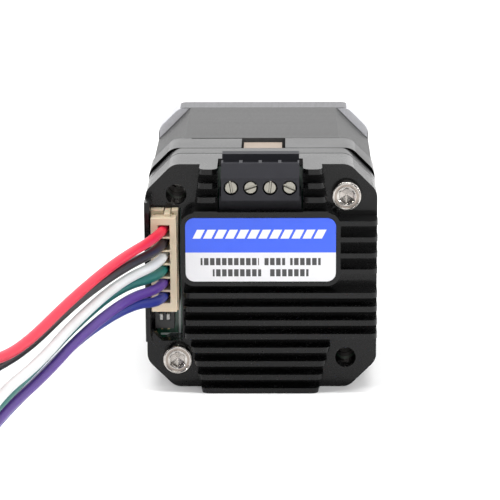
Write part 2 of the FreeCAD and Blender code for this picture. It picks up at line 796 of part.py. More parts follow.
def make_board_parts():
    back = board_y + board_thick
    chip = solid_box("driver_chip", -1.5, 7.5, board_y - 1.0, board_y, -10.5, -1.5)
    pad_block = solid_box("thermal_pad", -2, 8, rear_wall, board_y - 1.0, -11, -1)
    for piece in (chip, pad_block):
        nodes[piece.Label] = piece
    cans = [solid_rod(f"can_{k}", x, z, back, back + 5.4, 3.15)
            for k, (x, z) in enumerate(((-7.5, -7.0), (0.5, -9.0)))]
    group("capacitors", cans)
    spots = ((6.0, -0.5, 6.0, 6.0, 3.0), (-10.0, 7.6, 3.2, 1.6, 0.6), (-10.0, 10.2, 3.2, 1.6, 0.6),
             (-2.0, 10.0, 5.0, 5.0, 1.0), (11.5, -8.0, 2.5, 4.5, 1.2))
    small = [solid_box(f"small_{k}", x - w / 2, x + w / 2, back, back + t, z - d / 2, z + d / 2)
             for k, (x, z, w, d, t) in enumerate(spots)]
    group("small_parts", small)
    phase = [solid_box(f"phase_pin_{k}", phase_x(k) - 0.32, phase_x(k) + 0.32, board_y - 0.35,
                       stack_y - 2.5, 16.93, 17.57) for k in range(4)]
    group("phase_pins", phase)


def make_dip_switch():
    x = signal_x - 0.4
    top = board_y - 2.0
    switch = body("dip_switch_body")
    add_box(switch, x - 1.8, x + 1.8, top, board_y, -10.8, -6.7)
    leads = []
    for k, side in enumerate((-1, 1)):
        lane = x + 0.635 * side
        cut_box(switch, lane - 0.38, lane + 0.38, top, top + 0.9, -9.2, -7.1)
        slider = body(f"dip_slider_{k + 1}")
        add_box(slider, lane - 0.3, lane + 0.3, top - 0.15, top + 0.8, -9.1, -8.0)
        for end, (z0, z1) in enumerate(((-11.5, -10.8), (-6.7, -6.1))):
            leads.append(solid_box(f"dip_lead_{k}_{end}", lane - 0.2, lane + 0.2,
                                   board_y - 0.25, board_y, z0, z1))
    group("dip_leads", leads)


# ---------------------------------------------------------------- signal connector

def make_signal_connector():
    wall = 0.7
    floor_y = board_y - 1.0
    plug_y = header_y - plug_proud
    cavity = (header_x0 + wall, header_x1 - wall, header_z0 + wall, header_z1 - wall)
    header = body("signal_header")
    add_box(header, header_x0, header_x1, header_y, board_y, header_z0, header_z1)
    cut_box(header, cavity[0], cavity[1], header_y, floor_y, cavity[2], cavity[3])
    cut_box(header, signal_x - 0.1, signal_x + 1.3, header_y, header_y + 3, header_z1 - 1, header_z1 + 1)
    holes = rear_view(header, floor_y)
    for k in range(SIGNALS):
        rectangle(holes, signal_x - 0.35, signal_x + 0.35, signal_z(k) - 0.35, signal_z(k) + 0.35)
    pocket(header, holes, 1.0)

    plug = body("signal_plug")
    add_box(plug, cavity[0] + slip, cavity[1] - slip, plug_y, floor_y - slip,
            cavity[2] + slip, cavity[3] - slip)
    add_box(plug, header_x0 + 0.15, header_x1 - 0.25, plug_y, header_y - 0.05,
            header_z0 + 0.5, header_z1 - 0.8)
    add_box(plug, signal_x + 0.05, signal_x + 1.15, plug_y + 0.8, header_y + 2.5,
            header_z1 - 0.9, header_z1 - 0.1)
    lanes = rear_view(plug, plug_y)
    for k in range(SIGNALS):
        rectangle(lanes, signal_x - 1.05, signal_x + 1.05, signal_z(k) - 1.05, signal_z(k) + 1.05)
    pocket(plug, lanes, header_height + plug_proud - 1.6)
    ends = rear_view(plug, floor_y - 0.7)
    for k in range(SIGNALS):
        rectangle(ends, signal_x - 0.5, signal_x + 0.5, signal_z(k) - 0.5, signal_z(k) + 0.5)
    pocket(plug, ends, 1)

    crimps = body("crimp_contacts")
    tubes = rear_view(crimps, header_y + 0.5)
    for k in range(SIGNALS):
        rectangle(tubes, signal_x - 0.85, signal_x + 0.85, signal_z(k) - 0.85, signal_z(k) + 0.85)
        rectangle(tubes, signal_x - 0.36, signal_x + 0.36, signal_z(k) - 0.36, signal_z(k) + 0.36)
    pad(crimps, tubes, 4.6)

    pins = body("signal_pins")
    rods = rear_view(pins, header_y + 1.5)
    for k in range(SIGNALS):
        rectangle(rods, signal_x - 0.32, signal_x + 0.32, signal_z(k) - 0.32, signal_z(k) + 0.32)
    pad(pins, rods, pins_y - header_y - 1.5)


# ---------------------------------------------------------------- screw terminal

def side_profile(owner, points, centre_x, width):
    """Pads an outline in the YZ plane by width about centre_x."""
    drawing = sketch(owner, "YZ_Plane", centre_x - as_size(width) / 2)
    outline(drawing, points)
    made = owner.newObject("PartDesign::Pad", owner.Label + "_side")
    made.Profile = drawing
    bind(made, "Length", width)
    return made


def make_terminal():
    width = terminal_width
    deep = board_y - 0.8
    header = body("terminal_header")
    add_box(header, socket_x0, socket_x1, -2.1, board_y, 6.2, plug_foot - 0.3)
    shell = sketch(header, "XY_Plane", plug_foot - 0.3)
    rectangle(shell, socket_x0 + 0.6, socket_x1 - 0.6, -1.3, deep)
    pocket(header, shell, plug_foot - 0.3 - 7.2)
    feet = sketch(header, "XY_Plane", 7.2)
    for k in range(POLES):
        rectangle(feet, pole_x(k) - 0.42, pole_x(k) + 0.42, 0.98, 1.82)
    pocket(header, feet, 1.0)

    pins = body("terminal_pins")
    shape = [(1.0, 5.0), (pins_y, 5.0), (pins_y, 5.8), (1.8, 5.8), (1.8, 14.0), (1.0, 14.0)]
    first = side_profile(pins, shape, pole_x(0), 0.8)
    along(pins, [first], "X_Axis", pole_pitch, POLES)

    plug = body("terminal_plug")
    side_profile(plug, [(-plug_reach, plug_foot), (board_y - 0.6, plug_foot),
                        (board_y - 0.6, plug_top), (-plug_reach + 1.5, plug_top),
                        (-plug_reach + 1.3, plug_top - 0.25), (-plug_reach, plug_top - 2.5)],
                 terminal_x, width)
    nose = sketch(plug, "XY_Plane", 7.5)
    rectangle(nose, socket_x0 + 0.6 + slip, socket_x1 - 0.6 - slip, -1.3 + slip, deep - slip)
    pad(plug, nose, plug_foot - 7.5)
    band = sketch(plug, "XY_Plane", plug_top)
    rectangle(band, terminal_x - width / 2 - 1, terminal_x + width / 2 + 1, -3.2, 2.0)
    pocket(plug, band, 1.5)
    shafts = sketch(plug, "XY_Plane", plug_top)
    plates = sketch(plug, "XY_Plane", plug_foot + 0.8)
    forks = sketch(plug, "XY_Plane", plug_foot + 0.8)
    for k in range(POLES):
        x = pole_x(k)
        rectangle(shafts, x - 1.45, x + 1.45, -5.25, -0.4)
        rectangle(plates, x - 0.9, x + 0.9, -3.25, 2.35)
        rectangle(forks, x - 0.9, x + 0.9, 0.45, 2.35)
    pocket(plug, shafts, plug_top - plug_foot - 0.8)
    pocket(plug, plates, 0.6)
    pocket(plug, forks, 10)
    poles = [(pole_x(k), screw_z) for k in range(POLES)]
    cut_holes(plug, poles, 1.35, -plug_reach, -5.5)
    cut_holes(plug, poles, terminal_screw_radius + slip, -5.6, -5.2)

    contacts = body("plug_contacts")
    z0 = plug_foot + 0.3
    fork = [(-3.15, z0), (0.55, z0), (0.55, 8.6), (0.95, 8.6), (0.95, z0 - 0.5), (1.85, z0 - 0.5),
            (1.85, 8.6), (2.25, 8.6), (2.25, z0 + 0.4), (-2.65, z0 + 0.4), (-2.65, z0 + 3.5),
            (-3.15, z0 + 3.5)]
    first = side_profile(contacts, fork, pole_x(0), 1.6)
    along(contacts, [first], "X_Axis", pole_pitch, POLES)

    for k in range(POLES):
        make_cage(k)
        make_terminal_screw(k)


screw_z = plug_foot + 2.3


def make_cage(k):
    """The rising clamp: a square loop whose near wall is tapped for the screw."""
    x = pole_x(k)
    cage = body(f"clamp_cage_{k + 1}")
    add_box(cage, x - 1.35, x + 1.35, -2.8 - cage_travel, -0.5, screw_z - 1.3, screw_z + 1.3)
    inside = sketch(cage, "XY_Plane", screw_z + 1.3)
    rectangle(inside, x - 1.0, x + 1.0, -2.0 - cage_travel, -1.0)
    pocket(cage, inside, 2.6)
    cut_holes(cage, [(x, screw_z)], terminal_screw_radius + run, -2.9 - cage_travel, -1.9 - cage_travel)


def make_terminal_screw(k):
    """A slotted cheese-head screw, turned a little differently in each pole."""
    slot_turns = (80, -18, 96, 24)
    screw = body(f"terminal_screw_{k + 1}")
    screw.Placement.Rotation = FreeCAD.Rotation(FreeCAD.Vector(0, 1, 0), slot_turns[k])
    place(screw, pole_x(k), 0, screw_z)
    face = -plug_reach + 0.35
    turned(screw, [(0, face), (1.05, face), (1.2, face + 0.15), (1.2, face + 1.0),
                   (terminal_screw_radius, face + 1.0), (terminal_screw_radius, -3.2), (0, -3.2)])
    cut_box(screw, -1.4, 1.4, face, face + 0.5, -0.2, 0.2)


# ---------------------------------------------------------------- leads

# Each lead's route from its crimp to the tied coil, in the part's own frame
ROUTES = {
    "lead_red": [(-17.6, -38.6, 31.0), (-18.0, -44.6, 30.9), (-24.7, -59.1, 30.3),
                 (-31.6, -74.2, 27.6), (-39.0, -89.5, 23.1), (-44.0, -101.1, 24.5),
                 (-45.7, -113.1, 17.9), (-57.1, -122.4, 11.0), (-69.7, -124.4, 6.7),
                 (-78.7, -118.6, 5.6), (-82.0, -109.2, 5.3), (-82.0, -101.5, 5.3)],
    "lead_black": [(-17.6, -38.6, 28.5), (-18.0, -44.6, 28.4), (-24.1, -57.5, 28.4),
                   (-31.4, -71.2, 26.2), (-38.6, -85.7, 21.8), (-44.5, -99.0, 21.9),
                   (-47.3, -111.9, 16.8), (-57.9, -120.5, 10.6), (-69.2, -122.3, 6.7),
                   (-77.1, -117.2, 5.6), (-80.1, -108.8, 5.3), (-80.1, -101.5, 5.3)],
    "lead_white": [(-17.6, -38.6, 26.0), (-18.0, -44.6, 25.8), (-24.3, -58.7, 26.4),
                   (-31.1, -74.4, 23.7), (-35.9, -89.2, 20.9), (-41.3, -101.8, 19.5),
                   (-45.7, -113.1, 13.5), (-57.1, -122.4, 8.2), (-69.7, -124.4, 4.8),
                   (-78.7, -118.6, 3.7), (-82.0, -109.2, 3.4), (-82.0, -101.5, 3.4)],
    "lead_green": [(-17.6, -38.6, 23.5), (-18.0, -44.6, 23.4), (-24.6, -56.4, 24.7),
                   (-30.9, -70.5, 22.6), (-36.1, -85.4, 19.9), (-41.3, -99.8, 17.6),
                   (-47.3, -111.9, 12.6), (-57.9, -120.5, 7.8), (-69.2, -122.3, 4.8),
                   (-77.1, -117.2, 3.7), (-80.1, -108.8, 3.4), (-80.1, -101.5, 3.4)],
    "lead_violet": [(-17.6, -38.6, 21.0), (-18.0, -44.6, 21.0), (-23.1, -58.6, 23.3),
                    (-30.5, -72.8, 20.6), (-35.4, -86.5, 17.8), (-41.7, -99.6, 15.2),
                    (-45.7, -113.1, 10.8), (-57.1, -122.4, 5.9), (-69.7, -124.4, 2.9),
                    (-78.7, -118.6, 1.8), (-82.0, -109.2, 1.5), (-82.0, -101.5, 1.5)],
    "lead_blue": [(-17.6, -38.6, 18.5), (-18.0, -44.6, 18.4), (-22.7, -55.6, 21.3),
                  (-30.6, -69.8, 19.7), (-36.5, -84.3, 16.6), (-42.2, -98.2, 13.8),
                  (-47.3, -111.9, 9.4), (-57.9, -120.5, 5.4), (-69.2, -122.3, 2.9),
                  (-77.1, -117.2, 1.8), (-80.1, -108.8, 1.5), (-80.1, -101.5, 1.5)],
}


def rounded_path(points):
    """Straight runs joined by arcs, each as large as its two runs allow."""
    spots = [FreeCAD.Vector(*p) for p in points]
    edges = []
    radii = []
    here = spots[0]
    for before, corner, after in zip(spots, spots[1:], spots[2:]):
        back = (before - corner)
        ahead = (after - corner)
        cut = 0.45 * min(back.Length, ahead.Length)
        turn = math.pi - back.getAngle(ahead)
        radii.append(cut / math.tan(turn / 2))
        back.normalize()
        ahead.normalize()
        start = corner + back * cut
        end = corner + ahead * cut
        middle = back + ahead
        middle.normalize()
        reach = radii[-1] / math.cos(turn / 2) - radii[-1]
        edges.append(Part.LineSegment(here, start).toShape())
        edges.append(Part.Arc(start, corner + middle * reach, end).toShape())
        here = end
    edges.append(Part.LineSegment(here, spots[-1]).toShape())
    return Part.Wire(edges), radii


def make_leads():
    radius = lead_radius.number
    for label, points in ROUTES.items():
        path, radii = rounded_path(points)
        heading = FreeCAD.Vector(*points[1]) - FreeCAD.Vector(*points[0])
        rim = Part.Circle(FreeCAD.Vector(*points[0]), heading, radius).toShape()
        tube = path.makePipeShell([Part.Wire([rim])], True, True)
        made = doc.addObject("Part::Feature", label)
        made.Label = label
        made.Shape = tube
        nodes[label] = made
        ideal = math.pi * radius ** 2 * path.Length
        print(f"{label}: {path.Length:.1f} mm, smallest radius {min(radii):.1f} mm, "
              f"volume {tube.Volume / ideal:.4f} of section times length")


def make_coil():
    """The leads' far length wound inwards as a flat spiral of two leads by three, and its tie."""
    centre = FreeCAD.Vector(-65.0, -95.0, 0)
    low = 0.6
    high = 6.25
    outer = 17.95
    step = 3.7
    inner = 6.9
    tail_y = -101.5
    turns = [k / 8 for k in range(8)] + [0.925]
    rim = []
    for turn in turns:
        reach = outer - step * turn
        angle = math.pi * (1 - 2 * turn)
        rim.append(centre + FreeCAD.Vector(reach * math.cos(angle), reach * math.sin(angle), low))
    edges = [Part.Arc(*rim[k:k + 3]).toShape() for k in range(0, 8, 2)]
    corners = [rim[-1], FreeCAD.Vector(-79.15, tail_y, low),
               FreeCAD.Vector(centre.x - outer, tail_y, low), rim[0]]
    edges += [Part.LineSegment(a, b).toShape() for a, b in zip(corners, corners[1:])]
    wound = Part.Face(Part.Wire(edges)).extrude(FreeCAD.Vector(0, 0, high - low))
    ring = doc.addObject("Part::Feature", "lead_coil")
    ring.Shape = wound.cut(Part.makeCylinder(inner, high, centre))
    nodes["lead_coil"] = ring
    # The tie goes round the coil's section on its right side
    half_width = 1.3
    start = centre.x + inner - 0.3
    end = centre.x + outer - step / 2 + 0.1
    band = 0.6
    loop = Part.makeBox(end - start + 2 * band, 2 * half_width, high + band,
                        FreeCAD.Vector(start - band, centre.y - half_width, 0))
    inside = Part.makeBox(end - start, 2 * half_width, high - low,
                          FreeCAD.Vector(start, centre.y - half_width, low))
    lock = Part.makeBox(3.6, 4.4, 2.4, FreeCAD.Vector(start + 3.5, centre.y - 2.2, high))
    tie = doc.addObject("Part::Feature", "coil_tie")
    tie.Shape = loop.cut(inside).fuse(lock).removeSplitter()
    nodes["coil_tie"] = tie


# ---------------------------------------------------------------- the part

make_cover()
make_nameplate()
make_adapter_ring()
make_board()
make_board_parts()
make_dip_switch()
make_signal_connector()
make_terminal()
make_rear_cap()
make_stator()
make_rear_bobbin()
make_bobbin("front_bobbin", front_y, 1)
make_windings()
make_front_cap()
make_shaft()
make_rotor()
make_bearing("rear", cap_y + 1.5)
make_bearing("front", front_y)
make_washer()
make_screws("cover_screws", (1, 1), -head_height)
make_screws("motor_screws", (-1, 1), cap_y + 0.3)
make_leads()
make_coil()
doc.recompute()

faults = [f"{item.Label}: {item.State}" for item in doc.Objects
          if "Invalid" in item.State or "Error" in item.State]
faults += [f"{label}: empty or invalid shape" for label, item in nodes.items()
           if item.Shape.isNull() or not item.Shape.isValid() or not item.Shape.Solids]
if faults:
    raise RuntimeError("; ".join(faults))
os.makedirs("parts", exist_ok=True)
for label, item in nodes.items():
    item.Shape.exportStep(f"parts/{label}.step")
print(len(nodes), "pieces written")
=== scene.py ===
"""The looks of an integrated stepper motor: a 42 mm motor with its driver in a finned cover."""
import json
import math

import bmesh
import bpy
from mathutils import Matrix, Vector


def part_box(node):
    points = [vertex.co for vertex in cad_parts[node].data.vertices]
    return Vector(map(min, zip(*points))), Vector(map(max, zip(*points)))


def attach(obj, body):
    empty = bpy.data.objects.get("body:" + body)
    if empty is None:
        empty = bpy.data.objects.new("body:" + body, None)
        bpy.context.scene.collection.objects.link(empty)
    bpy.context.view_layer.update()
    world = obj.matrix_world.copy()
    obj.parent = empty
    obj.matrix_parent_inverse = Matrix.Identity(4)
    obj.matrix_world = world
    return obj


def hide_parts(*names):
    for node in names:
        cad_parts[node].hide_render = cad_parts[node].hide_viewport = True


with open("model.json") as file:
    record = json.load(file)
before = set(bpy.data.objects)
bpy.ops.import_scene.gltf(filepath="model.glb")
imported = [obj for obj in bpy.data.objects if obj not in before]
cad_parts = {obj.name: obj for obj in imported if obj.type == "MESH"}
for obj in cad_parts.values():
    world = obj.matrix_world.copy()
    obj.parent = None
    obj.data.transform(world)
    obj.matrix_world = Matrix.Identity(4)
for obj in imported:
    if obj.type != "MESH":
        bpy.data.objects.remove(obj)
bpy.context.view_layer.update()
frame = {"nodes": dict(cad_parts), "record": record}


# ---- Shaft ----------------------------------------------------------------------------------
# Ground and polished steel, 5 mm across, with a flat milled along the output end. The grinding
# wheel leaves fine rings round it, so the grain runs about Y.

mm = 0.001
axis_z = 21.15 * mm
sharp_angle = math.radians(28)
merge_distance = 0.002 * mm
flat_enough = math.radians(0.5)


class Signal:
    """One socket's output in a material. Arithmetic on it adds Math nodes."""

    def __init__(self, paint, socket):
        self.paint = paint
        self.socket = socket

    def math(self, operation, *others):
        return self.paint.node("Math", {"operation": operation}, dict(enumerate([self, *others])))

    def __add__(self, other):
        return self.math("ADD", other)

    def __mul__(self, other):
        return self.math("MULTIPLY", other)

    def __sub__(self, other):
        return self.math("SUBTRACT", other)

    def __rsub__(self, other):
        return self.paint.node("Math", {"operation": "SUBTRACT"}, {0: other, 1: self})

    def __truediv__(self, other):
        return self.math("DIVIDE", other)

    def __gt__(self, other):
        return self.math("GREATER_THAN", other)

    def __lt__(self, other):
        return self.math("LESS_THAN", other)

    def __abs__(self):
        return self.math("ABSOLUTE")

    __radd__ = __add__
    __rmul__ = __mul__


class Paint:
    """A material's nodes. Constants are set on the shader, the rest is linked to it."""

    def __init__(self, name, **constants):
        self.material = bpy.data.materials.new(name)
        self.material.use_nodes = True
        self.tree = self.material.node_tree
        self.shader = self.tree.nodes["Principled BSDF"]
        for socket, value in constants.items():
            self.shader.inputs[socket.replace("_", " ")].default_value = value

    def node(self, kind, settings, inputs, output=0):
        made = self.tree.nodes.new("ShaderNode" + kind)
        for name, value in settings.items():
            setattr(made, name, value)
        for socket, value in inputs.items():
            if isinstance(value, Signal):
                self.tree.links.new(value.socket, made.inputs[socket])
            else:
                made.inputs[socket].default_value = value
        return Signal(self, made.outputs[output])

    def feed(self, socket, value):
        self.tree.links.new(value.socket, self.shader.inputs[socket])

    def spot(self, stretch):
        """The point on the piece, in metres, stretched along the axes."""
        here = self.node("TexCoord", {}, {}, "Object")
        return self.node("Mapping", {}, {"Vector": here, "Scale": stretch})

    def axes(self):
        here = self.node("TexCoord", {}, {}, "Object")
        return [self.node("SeparateXYZ", {}, {"Vector": here}, k) for k in range(3)]

    def noise(self, size, stretch=(1, 1, 1), detail=3.0):
        """Cloudy noise from 0 to 1 whose blots are about size across."""
        return self.node("TexNoise", {}, {"Vector": self.spot(stretch), "Scale": 1 / size,
                                          "Detail": detail, "Roughness": 0.55})

    def tint(self, factor, low, high):
        """A colour between low and high."""
        return self.node("Mix", {"data_type": "RGBA"}, {0: factor, 6: low, 7: high}, 2)

    def emboss(self, height, depth):
        """Bump of the given depth in metres."""
        self.feed("Normal", self.node("Bump", {}, {"Height": height, "Distance": depth,
                                                   "Strength": 1.0}))


def grey(value, blue=1.0):
    return (value, value, value * blue, 1)


def metal(name, colour, dull, grain, stretch, smear=0.12, depth=0.004 * mm):
    """Bare metal: a stretched grain in its tone, roughness and bump, and faint finger marks."""
    paint = Paint(name, Metallic=1.0)
    lines = paint.noise(grain, stretch)
    marks = paint.noise(6 * mm, detail=4.0)
    paint.feed("Base Color", paint.tint(lines * 0.6 + marks * 0.4,
                                        tuple(c * 0.78 for c in colour) + (1,), colour + (1,)))
    paint.feed("Roughness", lines * smear + marks * smear + (dull - smear))
    paint.emboss(lines, depth)
    return paint.material


def dress(material, *nodes):
    """Gives CAD nodes a material, leaving their meshes as they are."""
    for name in nodes:
        node = frame["nodes"][name]
        node.data.materials.clear()
        node.data.materials.append(material)


body_of = {node: body for body, members in frame["record"]["behaviour"]["bodies"].items()
           for node in members}


def fit(piece, material, node):
    """Puts a finished piece in the place of a CAD node."""
    piece.data.materials.clear()
    piece.data.materials.append(material)
    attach(piece, body_of[node])
    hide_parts(node)


def add_piece(name, form):
    """A smooth-shaded object made from a bmesh, with its sharp edges kept sharp."""
    mesh = bpy.data.meshes.new(name)
    form.to_mesh(mesh)
    form.free()
    mesh.shade_smooth()
    mesh.set_sharp_from_angle(angle=sharp_angle)
    piece = bpy.data.objects.new(name, mesh)
    bpy.context.scene.collection.objects.link(piece)
    return piece


def soften(node, name, material, edge, segments=2):
    """A copy of a CAD node, its triangles merged, with every sharp edge broken by a small round."""
    form = bmesh.new()
    form.from_mesh(frame["nodes"][node].data)
    bmesh.ops.remove_doubles(form, verts=form.verts, dist=merge_distance)
    bmesh.ops.dissolve_limit(form, angle_limit=flat_enough, verts=form.verts, edges=form.edges)
    piece = add_piece(name, form)
    broken = piece.modifiers.new("broken_edges", "BEVEL")
    broken.width = edge
    broken.segments = segments
    broken.limit_method = "ANGLE"
    broken.angle_limit = sharp_angle
    even = piece.modifiers.new("even_normals", "WEIGHTED_NORMAL")
    even.keep_sharp = True
    fit(piece, material, node)
    return piece


shaft_steel = metal("shaft_steel", (0.66, 0.66, 0.68), 0.28, 0.08 * mm, (0.02, 1, 0.02))
soften("shaft", "ground_shaft", shaft_steel, 0.06 * mm)


# ---- Rotor ----------------------------------------------------------------------------------
# Two toothed cups of stamped steel sheets with a sintered magnet between them, pressed on the
# shaft. The sheets are half a millimetre thick and show as rings.

sheet_thick = 0.5 * mm


def laminated(name, dark, light, dull):
    """Stacked steel sheets: each sheet has its own tone, and the joints between them are grooves."""
    paint = Paint(name, Metallic=0.25, IOR=1.5)
    x, y, z = paint.axes()
    sheet = (y / sheet_thick).math("FLOOR")
    tone = paint.node("TexWhiteNoise", {"noise_dimensions": "1D"}, {"W": sheet})
    fleck = paint.noise(0.40 * mm, (1, 0.2, 1))
    place = (y / sheet_thick).math("FRACT")
    joint = (abs(place - 0.5) * 2).math("POWER", 8.0)
    paint.feed("Base Color", paint.tint(tone * 0.5 + fleck * 0.5 - joint * 0.4, grey(dark), grey(light)))
    paint.feed("Roughness", fleck * 0.16 + tone * 0.05 + (dull - 0.1))
    paint.emboss(joint * -1.0 + fleck * 0.3, 0.02 * mm)
    return paint.material


dress(laminated("rotor_sheets", 0.25, 0.42, 0.4), "rotor_cup_rear", "rotor_cup_front")

magnet = Paint("sintered_magnet", Metallic=0.6)
grains = magnet.noise(0.2 * mm, detail=6.0)
magnet.feed("Base Color", magnet.tint(grains, grey(0.12), grey(0.3, 1.05)))
magnet.feed("Roughness", grains * 0.3 + 0.35)
magnet.emboss(grains, 0.02 * mm)
dress(magnet.material, "rotor_magnet")


# ---- Bearings -------------------------------------------------------------------------------
# Two ball bearings of chrome steel, their races and balls ground bright. A wave washer of spring
# steel in front of the front one takes up their end play.

race_steel = metal("race_steel", (0.72, 0.72, 0.73), 0.2, 0.1 * mm, (0.05, 1, 0.05), 0.06)
for side in ("rear", "front"):
    dress(race_steel, f"{side}_bearing_inner", f"{side}_bearing_outer", f"{side}_bearing_balls")
dress(metal("spring_steel", (0.5, 0.5, 0.52), 0.35, 0.3 * mm, (1, 1, 1)), "wave_washer")


# ---- Stator ---------------------------------------------------------------------------------
# A pile of stamped sheets with dark varnish on their edges, two moulded end insulators, and
# eight coils of enamelled wire wound on the poles.

stack = laminated("stack_sheets", 0.025, 0.09, 0.50)
dress(stack, "stator_laminations")


def moulded(name, low, high, dull, texture=0.25 * mm, depth=0.01 * mm, **constants):
    """Injection-moulded plastic: a spark-eroded skin and a slow drift of tone from the flow."""
    paint = Paint(name, **constants)
    skin = paint.noise(texture, detail=4.0)
    flow = paint.noise(5 * mm, (1, 0.3, 1))
    paint.feed("Base Color", paint.tint(flow * 0.7 + skin * 0.3, low, high))
    paint.feed("Roughness", skin * 0.14 + (dull - 0.07))
    paint.emboss(skin, depth)
    return paint.material


nylon = moulded("natural_nylon", (0.50, 0.40, 0.27, 1), (0.70, 0.60, 0.45, 1), 0.42,
                Subsurface_Weight=0.12, Subsurface_Scale=0.6 * mm)
pink_nylon = moulded("bobbin_nylon", (0.20, 0.15, 0.12, 1), (0.36, 0.30, 0.24, 1), 0.6)
dress(pink_nylon, "rear_bobbin", "front_bobbin")

wire_gauge = 0.35 * mm
copper = Paint("enamelled_copper", Metallic=0.85, Coat_Weight=0.5)
x, y, z = copper.axes()
turns = ((x + z) / wire_gauge * (2 * math.pi)).math("SINE")
shade = copper.noise(1.5 * mm)
copper.feed("Base Color", copper.tint(shade * 0.6 + turns * 0.2 + 0.2, (0.30, 0.09, 0.03, 1),
                                      (0.72, 0.31, 0.13, 1)))
copper.feed("Roughness", shade * 0.2 + 0.25)
copper.emboss(turns, 0.06 * mm)
dress(copper.material, "windings")


# ---- End caps and their screws --------------------------------------------------------------
# Die-cast aluminium. The front cap is left bare, machined on its face and pilot and blasted at
# the corners; the rear cap and the ring behind it are painted satin black with the cover.


joint_gap = 0.34 * mm
orange_peel = 0.35 * mm
peel_depth = 0.004 * mm
dust_size = 0.5 * mm


def satin_coat(name, base, dull, joints):
    """Satin black over a casting: orange peel, a little dust, and dark gaps at its joints."""
    paint = Paint(name, IOR=1.22, Coat_Weight=0.34, Coat_Roughness=0.06, Coat_IOR=1.4)
    skin = paint.noise(orange_peel, detail=5.0)
    drift = paint.noise(9 * mm)
    dust = (paint.noise(dust_size, detail=2.0) - 0.68).math("MAXIMUM", 0.0) * 2.0
    paint.feed("Base Color", paint.tint(skin * 0.4 + drift * 0.5 + dust,
                                        grey(base), grey(base * 1.9, 1.06)))
    paint.feed("Roughness", skin * 0.12 + drift * 0.14 + (dull - 0.13))
    paint.emboss(skin, peel_depth)
    x, y, z = paint.axes()
    gap = y * 0.0
    for place in joints:
        gap = gap.math("MAXIMUM", abs(y - place) < joint_gap / 2)
    gloss = Signal(paint, paint.shader.outputs[0])
    black = paint.node("BsdfDiffuse", {}, {"Color": grey(0.002)})
    both = paint.node("MixShader", {}, {0: gap, 1: gloss, 2: black})
    paint.tree.links.new(both.socket, paint.tree.nodes["Material Output"].inputs["Surface"])
    return paint.material


cap_back, cap_front = [corner.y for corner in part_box("rear_end_cap")]
ring_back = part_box("heatsink_cover")[1].y
cap_coat = satin_coat("cap_coat", 0.005, 0.34, (ring_back, cap_back, cap_front))
soften("rear_end_cap", "rear_cap_casting", cap_coat, 0.12 * mm)
soften("adapter_ring", "ring_casting", cap_coat, 0.12 * mm)

bare = Paint("blasted_aluminium", Metallic=0.35)
x, y, z = bare.axes()
blasted_from = 35.9 * mm
blasted_half = 20.95 * mm
corner = (abs(x) + abs(z - axis_z)) > blasted_from
corner = corner * (abs(x) < blasted_half) * (abs(z - axis_z) < blasted_half)
pits = bare.noise(0.22 * mm, detail=6.0)
streaks = bare.noise(0.5 * mm, (1, 0.08, 1))
bare.feed("Base Color", bare.tint(pits * 0.24 + streaks * 0.16 + corner * 0.6,
                                  grey(0.02, 1.03), grey(0.70, 1.05)))
bare.feed("Roughness", pits * 0.2 + streaks * 0.08 + 0.40)
bare.emboss(pits, 0.02 * mm)
soften("front_end_cap", "front_cap_casting", bare.material, 0.15 * mm)

stainless = metal("stainless_head", (0.72, 0.69, 0.65), 0.25, 0.12 * mm, (1, 1, 1), 0.08)
dress(stainless, "motor_screws")


# ---- Driver board ---------------------------------------------------------------------------
# Green solder mask over copper, with a white printed line beside the connector. The driver chip
# faces the cover through a silicone pad; the bulk parts stand on the motor's side.

board_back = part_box("driver_pcb")[0].y
mask = Paint("solder_mask", Roughness=0.3, Coat_Weight=0.4, Coat_Roughness=0.15)
x, y, z = mask.axes()
line_x = -15.3 * mm
line_z = 8.7 * mm
line_left = -18.9 * mm
line_top = 18.5 * mm
line_half = 0.2 * mm
track_pitch = 1.4 * mm
upright = (abs(x - line_x) < line_half) * (z > line_z) * (z < line_top)
level = (abs(z - line_z) < line_half) * (x < line_x + line_half) * (x > line_left)
printed = upright.math("MAXIMUM", level) * (y < board_back + 0.05 * mm)
tracks = ((x + 0.4 * z) / track_pitch * (2 * math.pi)).math("SINE") > 0.55
weave = mask.noise(0.3 * mm)
ground = mask.tint(tracks * 0.35 + weave * 0.4, (0.004, 0.055, 0.028, 1), (0.012, 0.16, 0.085, 1))
mask.feed("Base Color", mask.tint(printed, ground, (0.78, 0.86, 0.83, 1)))
mask.emboss(printed + tracks * 0.8, 0.02 * mm)
dress(mask.material, "driver_pcb")

epoxy = moulded("moulded_epoxy", grey(0.012), grey(0.03), 0.5, 0.12 * mm, 0.008 * mm)
dress(epoxy, "driver_chip", "small_parts")
dress(moulded("silicone_pad", (0.25, 0.28, 0.33, 1), (0.42, 0.45, 0.5, 1), 0.7), "thermal_pad")
dress(metal("can_aluminium", (0.75, 0.75, 0.77), 0.3, 0.3 * mm, (1, 0.1, 1)), "capacitors")
tinned = metal("tin_plate", (0.74, 0.72, 0.67), 0.32, 0.25 * mm, (1, 1, 1))
dress(tinned, "phase_pins", "signal_pins", "terminal_pins", "plug_contacts")


# ---- Two-way switch -------------------------------------------------------------------------
# A black moulded body with two white sliders in its slots and gold-flashed leads, soldered to
# the board just below the connector.

switch_black = moulded("switch_body", grey(0.012), grey(0.028), 0.38, 0.15 * mm, 0.006 * mm)
soften("dip_switch_body", "switch_housing", switch_black, 0.06 * mm)
slider_white = moulded("slider_plastic", grey(0.74, 0.97), grey(0.88, 0.97), 0.4)
for k in (1, 2):
    soften(f"dip_slider_{k}", f"switch_slider_{k}", slider_white, 0.05 * mm)
dress(metal("gold_flash", (0.83, 0.66, 0.36), 0.3, 0.1 * mm, (1, 1, 1)), "dip_leads")


